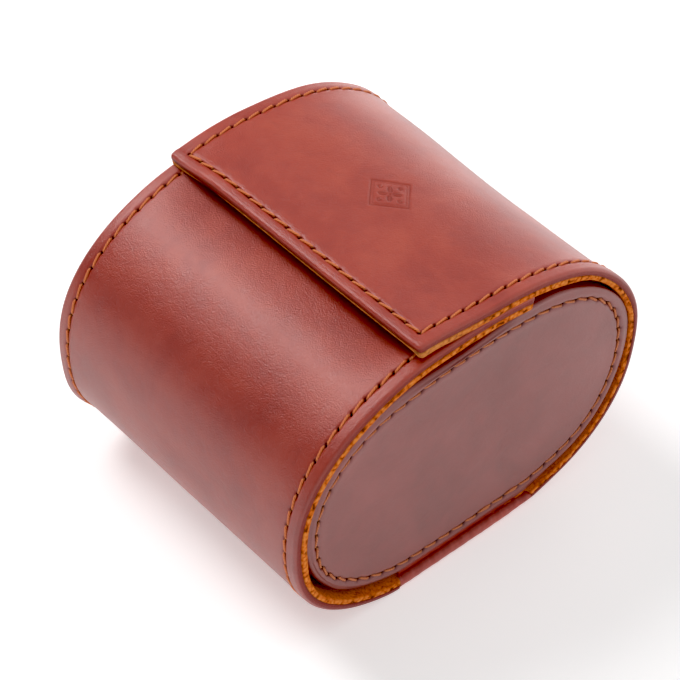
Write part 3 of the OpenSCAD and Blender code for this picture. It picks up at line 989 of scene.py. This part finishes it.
def panel_outline():
    t = np.arange(-62, 242.01, 0.5)
    tt = np.where(t < 0, t + 360, t)
    r = np.radians(tt)
    gap = np.where(tt > 180, 0.45 + 0.4 * np.sin(2 * (r - math.pi)) ** 2, 0.45 + 0.35 * np.sin(r) ** 2)
    gap = gap - 0.42 * smooth((np.cos(r) - 0.35) / 0.5)
    p = oval(tt) - (WALL + gap)[:, None] * outward(tt)
    p[:, 0] += 0.33
    # no nearer to the ground than the hinge
    p = p[p[:, 1] > 3.4]
    chord = np.column_stack([np.linspace(-19.5, 21.5, 60), np.full(60, 3.35)])
    p = np.vstack([p, chord])
    q, u, _ = even(p, 0.1, closed=True)
    q = soften(q, 14, closed=True)
    d = np.roll(q, -1, 0) - np.roll(q, 1, 0)
    d /= np.linalg.norm(d, axis=1, keepdims=True)
    q = q + (round_table(around(q), RIM_DRIFT))[:, None] * np.stack([d[:, 1], -d[:, 0]], -1)
    q, u, _ = even(soften(q, 22, closed=True), 0.1, closed=True)
    return q


OUT = panel_outline()
OUT_LEN = 0.1 * len(OUT)


def closed_at(curve, u):
    """Point on a closed curve sampled evenly, at share u of its length."""
    n = len(curve)
    v = (np.asarray(u) % 1.0) * n
    i = np.floor(v).astype(int)
    f = (v - i)[:, None]
    return curve[i % n] * (1 - f) + curve[(i + 1) % n] * f


_g = np.roll(OUT, -1, 0) - np.roll(OUT, 1, 0)
_g /= np.linalg.norm(_g, axis=1, keepdims=True)
OUT_N = soften(np.stack([_g[:, 1], -_g[:, 0]], -1), 10, closed=True)
OUT_N /= np.linalg.norm(OUT_N, axis=1, keepdims=True)


def margin(y, z):
    """Distance of the seam from the panel's rim, which varies round the panel."""
    right = smooth((y - 5) / 40)
    return 3.25 - 0.40 * right + 0.25 * smooth((-y - 10) / 30)


# seam curve: the rim pulled in by the margin and rounded
_th = around(OUT)
_m = margin(OUT[:, 0], OUT[:, 1]) + round_table(_th, RIM_DRIFT) - round_table(_th, SEAM_DRIFT)
PSEAM_Q = soften(OUT - _m[:, None] * OUT_N, 25, closed=True)
_len = np.linalg.norm(np.diff(np.vstack([PSEAM_Q, PSEAM_Q[:1]]), axis=0), axis=1)
_cum = np.concatenate([[0], np.cumsum(_len)])
P_N = int(round(_cum[-1] / 4.12))
P_HOLES = np.interp(np.arange(P_N) / P_N * _cum[-1] + 0.9, _cum, np.linspace(0, 1, len(OUT) + 1))  # share of the outline
CENTRE = np.array([0.4, 35.6])


def face_at(y, z, d):
    """Height x of the panel's outer face, d in from the rim."""
    tilt = 0.25 * (z - 36) / 32 + 1.08 * smooth((y - 4) / 42) - 0.2
    crown = 0.45 * smooth((d - 3.6) / 22)
    proud = 0.6 * smooth((z - 50) / 12) * bump(y, -5.0, 17.0)
    return FACE + tilt + crown + proud


def build_panel(s, name):
    """One end panel: s is +1 for the right end."""
    b = Build()
    cols = []
    for u in P_HOLES:
        cols += [u + f / OUT_LEN for f in (-0.62, -0.4, -0.22, -0.07, 0.07, 0.22, 0.4, 0.62)]
    for a0, a1 in zip(P_HOLES, np.roll(P_HOLES, -1) + (np.arange(P_N) == P_N - 1)):
        lo, hi = a0 + 0.62 / OUT_LEN, a1 - 0.62 / OUT_LEN
        cols += list(np.linspace(lo, hi, 4)[1:-1])
    cols = np.unique(np.round(np.array(cols) % 1.0, 7))
    p = closed_at(OUT, cols)
    n = closed_at(OUT_N, cols)
    n /= np.linalg.norm(n, axis=1, keepdims=True)
    q = closed_at(PSEAM_Q, cols)
    dq = np.linalg.norm(q - p, axis=1)                      # local margin
    # signed distance along the row to the nearest hole, mm
    du = (cols[:, None] - P_HOLES[None, :] + 0.5) % 1.0 - 0.5
    near_h = du[np.arange(len(cols)), np.abs(du).argmin(1)] * OUT_LEN
    rings = []

    def ring(pt, x, **at):
        v = np.column_stack([s * x, pt])
        st = np.column_stack([pt[:, 0] + (200 if s < 0 else 0), pt[:, 1] + 300, x * 0 + x]) * MM
        base = {"edge": 0.0, "pit": 0.0, "raw": 0.0}
        base.update(at)
        rings.append(b.add(v, st=st, **base))

    # hidden back, then the burnished cut edge, then the face, all from the rim inwards
    back_x = FACE - 2.0
    ring(p - 0.25 * n, np.full(len(p), back_x), edge=0.6)
    ring(p - 0.05 * n, np.full(len(p), back_x + 0.15), edge=0.9)
    ring(p + 0.0 * n, np.full(len(p), FACE - 1.35), edge=1.0)
    radius = np.minimum(1.05 - 0.4 * smooth((p[:, 0] - 5) / 35), 0.42 * dq)
    for ang in (0, 15, 30, 45, 60, 75, 90):
        a = math.radians(ang)
        d = radius * (1 - math.cos(a))
        pt = p - d[:, None] * n
        x = face_at(pt[:, 0], pt[:, 1], d) - radius * (1 - math.sin(a)) + 0.02
        ring(pt, x, edge=(1.0, 0.9, 0.6, 0.25, 0.1, 0.05, 0.0)[ang // 15])

    def relief(d, pt):
        dd = d - dq                                         # distance past the seam
        o = 0.30 * bump(dd, -1.25, 0.80) + 0.10 * bump(dd, 1.2, 0.8) - 0.26 * bump(dd, 0, 0.42)
        pull = 0.5 + 0.5 * np.cos(2 * np.pi * near_h / 4.12)
        o -= 0.05 * pull * bump(dd, 0, 0.9)
        hole = pit(near_h, dd, 0.68, 0.36, 0.5)
        w = np.column_stack([pt, np.full(len(pt), 50.0 * s)])
        o += 0.07 * noise(w, 17.0, 31) + 0.03 * noise(w, 6.0, 32)
        return o, hole

    near = radius + 0.08
    far = np.maximum(dq - 0.74, near + 0.05)
    for k in (0.1, 0.45, 0.8):
        d = near + (far - near) * k
        sh = (d / dq)[:, None]
        pt = p - d[:, None] * n
        pt = pt * (1 - sh ** 3) + (q + (p - q) * (1 - sh)) * sh ** 3
        o, hole = relief(d, pt)
        ring(pt, face_at(pt[:, 0], pt[:, 1], d) + o, edge=0.05)
    nq = n
    for off in (-0.62, -0.42, -0.24, -0.08, 0.08, 0.24, 0.42, 0.62, 0.95, 1.4, 2.0, 3.0, 4.4):
        pt = q - off * nq
        d = dq + off
        o, hole = relief(d, pt)
        # pit here darkens the panel's stitch holes: painted shade
        ring(pt, face_at(pt[:, 0], pt[:, 1], d) + o - 0.8 * hole, pit=np.clip(hole * 1.5, 0, 1))
    inner = q - 4.4 * nq
    for k in np.linspace(0.93, 0.06, 16):
        pt = CENTRE + (inner - CENTRE) * k
        d = dq + 4.4 + (1 - k) * 30
        o, hole = relief(d, pt)
        ring(pt, face_at(pt[:, 0], pt[:, 1], d) + o)
    rings = np.array(rings)
    loop = np.column_stack([rings, rings[:, :1]])
    b.f.append(quads(loop, flip=s > 0))
    c = rings[-1]
    b.f.append(c.tolist()[::-1] if s < 0 else c.tolist())
    c = rings[0]
    b.f.append(c.tolist() if s < 0 else c.tolist()[::-1])
    # orientation is settled by recalculating below
    ob = b.make(name, LEATHER_SHADED_END, sharp=62)
    # stitches
    t = Build()
    rng = np.random.default_rng(5 if s > 0 else 6)
    n_p = len(OUT)
    for k in range(P_N):
        u0, u1 = P_HOLES[k], P_HOLES[(k + 1) % P_N] + (1 if k == P_N - 1 else 0)
        a, h, deep = stitch_path(3.85, 0.20)
        f = (a + 2.06) / 4.12
        u = u0 + (u1 - u0) * f
        pt = closed_at(PSEAM_Q, u)
        nn = closed_at(OUT_N, u)
        nn /= np.linalg.norm(nn, axis=1, keepdims=True)
        pt = pt + nn * (SLANT * s * a / 2.06 + rng.normal(0, 0.025))[:, None]
        d = np.full(len(pt), 3.1)
        c = np.column_stack([s * (face_at(pt[:, 0], pt[:, 1], d) + h), pt])
        up = np.tile([s, 0, 0], (len(c), 1)).astype(float)
        thread_tube(t, c, up, THREAD_R * 0.95, 10, phase=rng.uniform(0, 6.28), deep=deep)
    # where the row was closed, two stitches are sewn twice
    for k0 in back_stitches:
        u0, u1 = P_HOLES[k0], P_HOLES[(k0 + 1) % P_N]
        a, h, deep = stitch_path(4.3, 0.34)
        f = (a + 2.06) / 4.12
        u = u0 + (u1 - u0) * f
        pt = closed_at(PSEAM_Q, u)
        nn = closed_at(OUT_N, u)
        bow = 0.62 * np.cos(np.clip(a / 2.15, -1, 1) * math.pi / 2)
        pt = pt - nn * bow[:, None]
        d = np.full(len(pt), 3.4)
        c = np.column_stack([s * (face_at(pt[:, 0], pt[:, 1], d) + h), pt])
        up = np.tile([s, 0, 0], (len(c), 1)).astype(float)
        thread_tube(t, c, up, THREAD_R * 0.9, 10, phase=1.0, deep=deep)
    th = t.make(name + "_stitches", THREAD_SHADED_END)
    # suede on the inside
    l = Build()
    cols2 = np.linspace(0, 1, int(OUT_LEN / 0.55), endpoint=False)
    p2, n2 = closed_at(OUT, cols2), closed_at(OUT_N, cols2)
    n2 /= np.linalg.norm(n2, axis=1, keepdims=True)
    rr = []

    def lring(pt, x, edge, rough=0.0):
        w = np.column_stack([x + 0 * pt[:, 0], pt])
        if rough:
            pt = pt + n2 * (rough * noise(w, 0.8, 41))[:, None]
        else:
            x = x + 0.06 * noise(w, 1.2, 42) + 0.04 * noise(w, 5.0, 43)
        rr.append(l.add(np.column_stack([s * (x + 0 * pt[:, 0]), pt]), st=(w + [0, 500 + 90 * s, 0]) * MM,
                        edge=edge, pit=0.0, tan=0.0))
    top = FACE - 2.0
    lring(p2 - 0.5 * n2, np.full(len(p2), top), 0.4, 0.05)
    for dx, ins, e in ((0.15, 0.2, 0.8), (0.5, 0.12, 1.0), (0.85, 0.14, 1.0), (1.15, 0.3, 0.8)):
        lring(p2 - ins * n2, np.full(len(p2), top - dx), e, 0.16)
    for ins, dx in ((0.7, 1.33), (1.2, 1.38), (2.2, 1.38), (3.6, 1.38), (6.0, 1.38)):
        lring(p2 - ins * n2, np.full(len(p2), top - dx), 0.0)
    base_in = p2 - 6.0 * n2
    for k in np.linspace(0.9, 0.06, 14):
        lring(CENTRE + (base_in - CENTRE) * k, np.full(len(p2), top - 1.38), 0.0)
    rr = np.array(rr)
    loop = np.column_stack([rr, rr[:, :1]])
    l.f.append(quads(loop, flip=s < 0))
    l.f.append(rr[-1].tolist() if s < 0 else rr[-1].tolist()[::-1])
    l.f.append(rr[0].tolist()[::-1] if s < 0 else rr[0].tolist())
    lin = l.make(name + "_suede", SUEDE_M, sharp=70)
    return ob, th, lin


# the two doubled stitches lie near the hinge
_hy = closed_at(PSEAM_Q, P_HOLES)
_low = np.where(_hy[:, 1] < 14)[0]
back_stitches = [int(_low[np.argmin(np.abs(_hy[_low, 0] - 5.0))]), int(_low[np.argmin(np.abs(_hy[_low, 0] - 13.2))])]

right_panel, right_panel_thread, right_panel_suede = build_panel(1, "right_panel")
left_panel, left_panel_thread, left_panel_suede = build_panel(-1, "left_panel")


def hinge(s, name):
    """The rolled leather under an end panel, which covers the wrap's lip."""
    ny = 150
    ys = np.concatenate([[0, 0.05, 0.15, 0.3], np.linspace(0.5, 2 * TAB - 0.5, ny), 2 * TAB - np.array([0.3, 0.15, 0.05, 0])]) - TAB + TAB_Y
    prof = [(37.4, 0.10), (38.0, 0.02), (38.7, 0.00), (39.3, 0.08), (39.8, 0.32), (40.15, 0.72), (40.33, 1.2),
            (40.36, 1.65), (40.25, 2.1), (40.0, 2.52), (39.65, 2.85), (39.25, 3.02), (38.9, 3.02), (38.5, 2.85),
            (38.4, 2.3), (38.4, 1.2), (38.4, 0.5), (38.0, 0.35)]
    prof = np.array(prof)
    b = Build()
    rows = []
    for k, y in enumerate(ys):
        e = min(k, len(ys) - 1 - k)
        pull = (0.16, 0.06, 0.015, 0.0)[e] if e < 4 else 0.0
        c = np.array([39.3, 1.5])
        pr = prof + (c - prof) * (pull / 1.5)
        # crease scallops where the roll is pinched under the panel
        crease = 0.16 * math.sin(y * 1.55 + 0.6 * math.sin(y * 0.7)) + 0.08 * math.sin(y * 3.7 + 1)
        w = smooth((pr[:, 1] - 1.9) / 1.1)
        wav = 0.05 * math.sin(y * 0.9 + 2) + 0.04 * math.sin(y * 2.3)
        x = pr[:, 0] + w * crease * 0.6 + 0.5 * wav
        dz = 0.9 * bump(y, 25.0, 9.0)
        z = pr[:, 1] + w * crease + dz * (1 - smooth((pr[:, 1] - 0.2) / 2.6))
        # the roll is darkened a little all over and more along its top, where it turns in under the panel: painted
        # shade in the crease
        edge = np.where(prof[:, 1] > 2.8, 0.55, 0.12)
        raw = np.full(len(pr), 1.0 if e < 2 else 0.0)
        rows.append(b.add(np.column_stack([s * x, np.full(len(x), y), z]),
                          st=np.column_stack([np.arange(len(x)) * 0.5 + (700 if s > 0 else 760), np.full(len(x), y), z]) * MM,
                          edge=edge * (1 - raw), pit=0.0 * x, raw=raw))
    rows = np.array(rows)
    loop = np.column_stack([rows, rows[:, :1]])
    b.f.append(quads(loop, flip=s < 0))
    b.f.append(rows[0].tolist() if s < 0 else rows[0].tolist()[::-1])
    b.f.append(rows[-1].tolist()[::-1] if s < 0 else rows[-1].tolist())
    tab = b.make(name + "_roll", LEATHER, sharp=60)
    # the strip that bends between the roll and the panel
    f = Build()
    ys2 = np.linspace(-TAB + 0.6, TAB - 0.6, 110) + TAB_Y
    zs = np.array([2.2, 2.5, 2.7, 2.85, 3.0, 3.12, 3.24, 3.36, 3.48, 3.6, 3.75, 3.95, 4.3, 4.8])
    prof2 = [(38.75, z) for z in zs] + [(37.75, z) for z in zs[::-1]]
    rows = []
    for y in ys2:
        pr = np.array(prof2)
        cr = 0.07 * math.sin(y * 1.55 + 0.6 * math.sin(y * 0.7))
        x = pr[:, 0] + cr * bump(pr[:, 1], 3.3, 0.5)
        # the fold is darkened all over through the burnish mask: painted shade in the crease between roll and panel
        rows.append(f.add(np.column_stack([s * x, np.full(len(x), y), pr[:, 1]]),
                          st=np.column_stack([pr[:, 1] + (900 if s > 0 else 960), np.full(len(x), y), x]) * MM,
                          edge=0.35, pit=0.0 * x, raw=0.0))
    rows = np.array(rows)
    loop = np.column_stack([rows, rows[:, :1]])
    f.f.append(quads(loop, flip=s > 0))
    f.f.append(rows[0].tolist() if s > 0 else rows[0].tolist()[::-1])
    f.f.append(rows[-1].tolist()[::-1] if s > 0 else rows[-1].tolist())
    fold = f.make(name + "_fold", LEATHER, sharp=60)
    return tab, fold


right_roll, right_fold = hinge(1, "right_hinge")
left_roll, left_fold = hinge(-1, "left_hinge")


# -------------------------------------------------------------------- pillow
def build_pillow():
    L, H, W, z0 = 30.6, 45.2, 37.6, 3.3
    b = Build()
    a = np.linspace(0, 2 * math.pi, 120, endpoint=False)
    c, s = np.cos(a), np.sin(a)
    e = 2 / 2.2
    oy = W * np.sign(c) * np.abs(c) ** e
    oz = z0 + H / 2 + (H / 2) * np.sign(s) * np.abs(s) ** e
    rows = []
    prof = []
    for u in np.linspace(0, 1, 10):
        prof.append((L * 0.985 + 0.02 * u, 0.06 + 0.88 * u, 0.0))
    for u in np.linspace(0, math.pi / 2, 8):
        prof.append((L - 2.2 * (1 - math.cos(u)), 0.955 + 0.045 * math.sin(u), 0.0))
    left = [(x, k) for x, k, _ in prof]
    body = [(x, 1.0 + 0.012 * math.cos(x / L * math.pi / 2)) for x in np.linspace(L - 3.4, -(L - 3.4), 30)]
    right = [(-x, k) for x, k in left[::-1]]
    cy, cz = 0.0, z0 + H / 2
    for x, k in left + body + right:
        y = cy + (oy - cy) * k
        z = cz + (oz - cz) * k
        z = np.maximum(z, 3.12 + 0.25 * smooth((np.abs(y) - 18) / 10))
        rows.append(b.add(np.column_stack([np.full(len(a), x), y, z]),
                          st=np.column_stack([np.full(len(a), x) + 1200, y, z]) * MM,
                          edge=0.0 * a, pit=0.0 * a, tan=0.0 * a))
    rows = np.array(rows)
    loop = np.column_stack([rows, rows[:, :1]])
    b.f.append(quads(loop, flip=True))
    b.f.append(rows[0].tolist())
    b.f.append(rows[-1].tolist()[::-1])
    return b.make("watch_pillow", SUEDE_M, sharp=None)


pillow = build_pillow()

# ------------------------------------------------ orientation of closed pieces
import bmesh
for ob in [o for o in bpy.context.scene.objects if o.type == "MESH" and "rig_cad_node" not in o]:
    bm = bmesh.new()
    bm.from_mesh(ob.data)
    bmesh.ops.recalc_face_normals(bm, faces=bm.faces)
    bm.to_mesh(ob.data)
    bm.free()

# ---------------------------------------------------- which body each rides on
for ob in (front_leather, front_lining, front_thread, front_thread_in):
    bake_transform(ob)
for ob in (back_leather, back_lining, back_thread, back_thread_in):
    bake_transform(ob)
for ob in (flap_leather, flap_lining, flap_thread, flap_thread_in):
    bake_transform(ob)
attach(front_magnets, "front")
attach(flap_magnets, "flap")
for ob in (right_panel, right_panel_thread, right_panel_suede):
    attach(ob, "right_end")
for ob in (left_panel, left_panel_thread, left_panel_suede):
    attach(ob, "left_end")
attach(right_roll, "base")
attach(left_roll, "base")
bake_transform(right_fold)
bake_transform(left_fold)
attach(pillow, "base")

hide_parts("front_leather", "base_leather")
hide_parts("front_lining", "base_lining")
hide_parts("front_thread", "base_thread")
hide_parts("back_leather")
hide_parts("back_lining")
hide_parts("back_thread")
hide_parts("flap_leather")
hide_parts("flap_lining")
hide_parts("flap_thread")
for sd, panel, thread, suede, roll in (("right", right_panel, right_panel_thread, right_panel_suede, right_roll),
                                       ("left", left_panel, left_panel_thread, left_panel_suede, left_roll)):
    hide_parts(sd + "_end_leather")
    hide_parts(sd + "_end_thread")
    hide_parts(sd + "_end_lining")
    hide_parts(sd + "_tab")
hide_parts("pillow_cover", "pillow_foam", "pillow_right_cap", "pillow_left_cap")
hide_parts("front_magnets")
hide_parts("flap_magnets")

for node, ob in frame["nodes"].items():
    if not ob.hide_render:
        ob.data.materials.clear()
        ob.data.materials.append(BOARD)

# ------------------------------------------------------------ floor and light
def floor_material():
    g = Graph("studio_floor")
    tc = g.node("ShaderNodeTexCoord").outputs["Object"]
    n = g.noise(tc, 3.0, 2.0, 0.5)
    far = g.node("ShaderNodeVectorMath", operation="DOT_PRODUCT")
    g.link(tc, far.inputs[0])
    far.inputs[1].default_value = (-0.55, 0.85, 0.0)
    lit = g.math("MULTIPLY", g.math("SUBTRACT", far.outputs["Value"], 0.10, True), 2.4, True)
    near = g.node("ShaderNodeVectorMath", operation="DOT_PRODUCT")
    g.link(tc, near.inputs[0])
    near.inputs[1].default_value = (-0.6, -0.8, 0.0)
    left = g.math("MULTIPLY", g.math("SUBTRACT", near.outputs["Value"], -0.02, True), 5.0, True)
    # besides an even glow, the floor glows more towards the back and a little towards the front-left: painted light on
    # the floor
    glow = g.math("ADD", g.math("MULTIPLY", lit, 1.3), g.math("MULTIPLY", left, 0.02))
    g.set(Base_Color=g.ramp(n, [(0.3, (0.86, 0.86, 0.862)), (0.7, (0.88, 0.88, 0.88))]), Roughness=0.8,
          Specular_IOR_Level=0.1, Emission_Strength=g.math("ADD", glow, 0.42))
    g.bsdf.inputs["Emission Color"].default_value = (1, 1, 1, 1)
    return g.mat


bpy.ops.mesh.primitive_grid_add(x_subdivisions=8, y_subdivisions=8, size=6.0, location=(0, 0, -0.0001))
floor = bpy.context.object
floor.name = "studio_floor"
floor.data.materials.append(floor_material())


def area(name, direction, distance, target, size_x, size_y, radiance, colour=(1, 1, 1)):
    """A softbox of the given radiance, seen from the target in the given direction."""
    li = bpy.data.lights.new(name, "AREA")
    li.shape = "RECTANGLE"
    li.size, li.size_y = size_x, size_y
    li.energy = radiance * math.pi * size_x * size_y
    li.color = colour
    ob = bpy.data.objects.new(name, li)
    bpy.context.scene.collection.objects.link(ob)
    ob.location = Vector(target) + Vector(direction).normalized() * distance
    ob.rotation_euler = (-Vector(direction)).to_track_quat("-Z", "Y").to_euler()
    return ob


area("key_softbox", (-0.57, -0.22, 0.79), 1.0, (0, 0, 0.05), 0.42, 0.42, 10.9)

world = bpy.data.worlds.new("studio")
bpy.context.scene.world = world
world.use_nodes = True
wn = world.node_tree
wn.nodes.clear()
wo = wn.nodes.new("ShaderNodeOutputWorld")
bg = wn.nodes.new("ShaderNodeBackground")
wn.links.new(bg.outputs[0], wo.inputs[0])
tc = wn.nodes.new("ShaderNodeTexCoord")


def lobe(direction, stops):
    dot = wn.nodes.new("ShaderNodeVectorMath")
    dot.operation = "DOT_PRODUCT"
    dot.inputs[1].default_value = Vector(direction).normalized()
    wn.links.new(tc.outputs["Generated"], dot.inputs[0])
    ramp = wn.nodes.new("ShaderNodeValToRGB")
    ramp.color_ramp.interpolation = "EASE"
    el = ramp.color_ramp.elements
    while len(el) < len(stops):
        el.new(0.5)
    for e, (at, v) in zip(el, stops):
        e.position, e.color = at, (v, v, v, 1)
    wn.links.new(dot.outputs["Value"], ramp.inputs[0])
    return ramp.outputs[0]


front = lobe((0.72, 0.36, 0.60), [(0.05, 0.012), (0.60, 0.27)])
behind = lobe((-0.45, 0.88, -0.02), [(0.64, 0.0), (0.98, 0.37)])
add = wn.nodes.new("ShaderNodeMix")
add.data_type = "RGBA"
add.blend_type = "ADD"
add.inputs[0].default_value = 1.0
wn.links.new(front, add.inputs[6])
wn.links.new(behind, add.inputs[7])
wn.links.new(add.outputs[2], bg.inputs[0])
bg.inputs[1].default_value = 2.4

# -------------------------------------------------------------------- camera
_a, _e, _r = math.radians(46.603), math.radians(44.645), math.radians(2.829)
back = Vector((math.sin(_a) * math.cos(_e), -math.cos(_a) * math.cos(_e), math.sin(_e)))
right = Vector((math.cos(_a), math.sin(_a), 0))
up = back.cross(right)
rx = right * math.cos(_r) + up * math.sin(_r)
ux = -right * math.sin(_r) + up * math.cos(_r)
cam_data = bpy.data.cameras.new("camera")
cam_data.sensor_width = 36.0
cam_data.lens = 131.02
cam_data.clip_start = 0.02
cam_data.dof.use_dof = False
cam = bpy.data.objects.new("camera", cam_data)
bpy.context.scene.collection.objects.link(cam)
loc = Vector((0, 0, 0.0359)) + back * 0.5523 - rx * 0.00207 - ux * 0.000602
m = Matrix((rx, ux, back)).transposed().to_4x4()
m.translation = loc
cam.matrix_world = m
bpy.context.scene.camera = cam
bpy.context.scene.view_settings.view_transform = "Standard"
bpy.context.scene.view_settings.look = "None"
bpy.context.scene.view_settings.exposure = 0.0
bpy.context.scene.view_settings.gamma = 1.0
bpy.context.scene.view_settings.use_curve_mapping = True
bpy.context.scene.view_settings.curve_mapping.black_level = (0.018, 0.018, 0.018)
bpy.context.scene.view_settings.curve_mapping.update()
